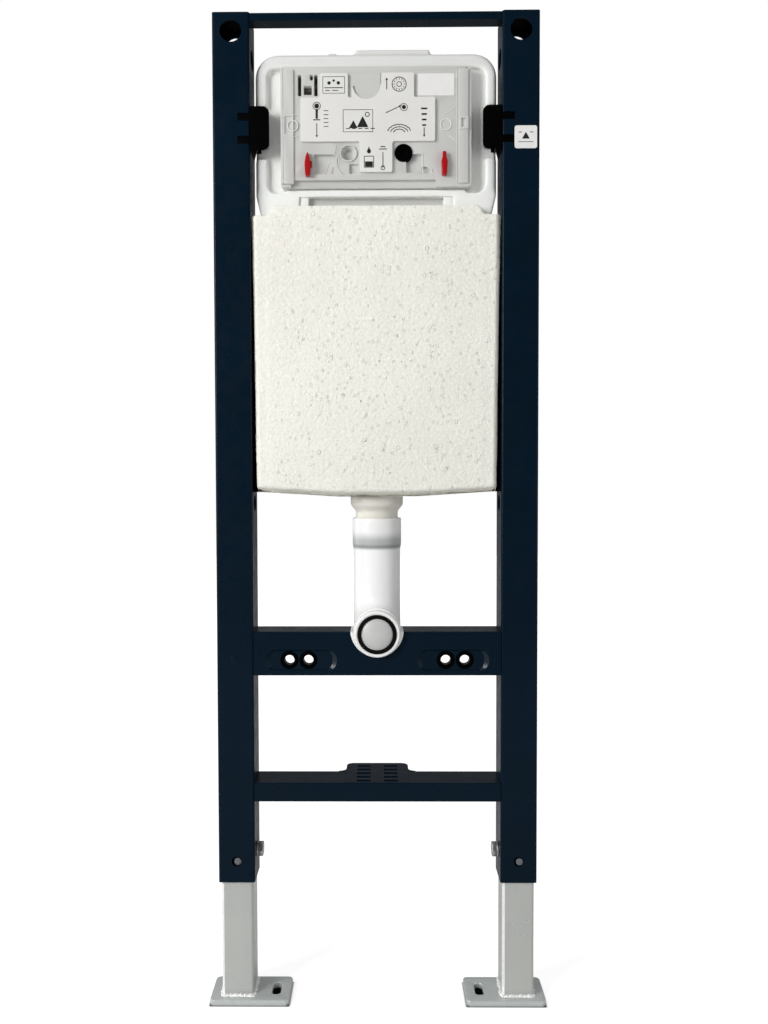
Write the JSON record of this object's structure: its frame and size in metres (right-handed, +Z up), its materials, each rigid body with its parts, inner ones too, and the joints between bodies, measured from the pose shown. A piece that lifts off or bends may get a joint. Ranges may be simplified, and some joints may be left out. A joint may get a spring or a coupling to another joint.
{
  "type": "wall hung toilet frame",
  "caption": "Tall dark steel floor frame with sliding legs, a concealed cistern in a foam jacket, service panel and flush bend, for hanging a toilet pan on a wall.",
  "frame": {"origin": "underside of the left foot plate, on the axis of the left leg", "axes": "+Z up along the posts, +X from the left post to the right one, the front faces -Y"},
  "size_m": [0.444, 0.125, 1.292],
  "materials": {
    "navy_paint": "satin powder coat",
    "galvanised_steel": "zinc plated",
    "zinc_bolt": "bright zinc",
    "black_plastic": "fine grain",
    "tank_white": "blown, soft sheen",
    "foam_white": "expanded beads",
    "panel_grey": "moulded",
    "guide_white": "moulded",
    "red_plastic": "gloss",
    "pipe_white": "milky gloss",
    "grey_rubber": "moulded",
    "black_rubber": "moulded",
    "plug_grey": "satin",
    "label_paper": "smooth"
  },
  "bodies": {
    "feet": {"left_foot_plate": "galvanised_steel", "right_foot_plate": "galvanised_steel", "left_leg": "galvanised_steel", "right_leg": "galvanised_steel"},
    "frame": {"left_post": "navy_paint", "right_post": "navy_paint", "left_post_cap": "black_plastic", "right_post_cap": "black_plastic", "left_clamp_bolt": "zinc_bolt", "right_clamp_bolt": "zinc_bolt", "left_tank_clamp": "black_plastic", "right_tank_clamp": "black_plastic", "left_red_pin": "red_plastic", "right_red_pin": "red_plastic", "left_panel_strip": "panel_grey", "right_panel_strip": "panel_grey", "top_crossbar": "navy_paint", "pan_beam": "navy_paint", "lower_crossbar": "navy_paint", "waste_bracket": "navy_paint", "tank_body": "tank_white", "insulation_front": "foam_white", "insulation_rear": "foam_white", "service_frame": "panel_grey", "guide_plate": "guide_white", "tube_ring": "panel_grey", "tube_plug": "black_plastic", "blank_label": "label_paper", "flush_neck": "pipe_white", "flush_bend": "pipe_white", "socket_seal": "grey_rubber", "outlet_seal": "black_rubber", "outlet_plug": "plug_grey", "outlet_saddle": "pipe_white", "level_sticker": "label_paper"}
  },
  "joints": [
    {"name": "height_slide", "type": "slide", "parent": "feet", "child": "frame", "axis": [0, 0, 1], "range_m": [-0.14, 0.046]}
  ]
}
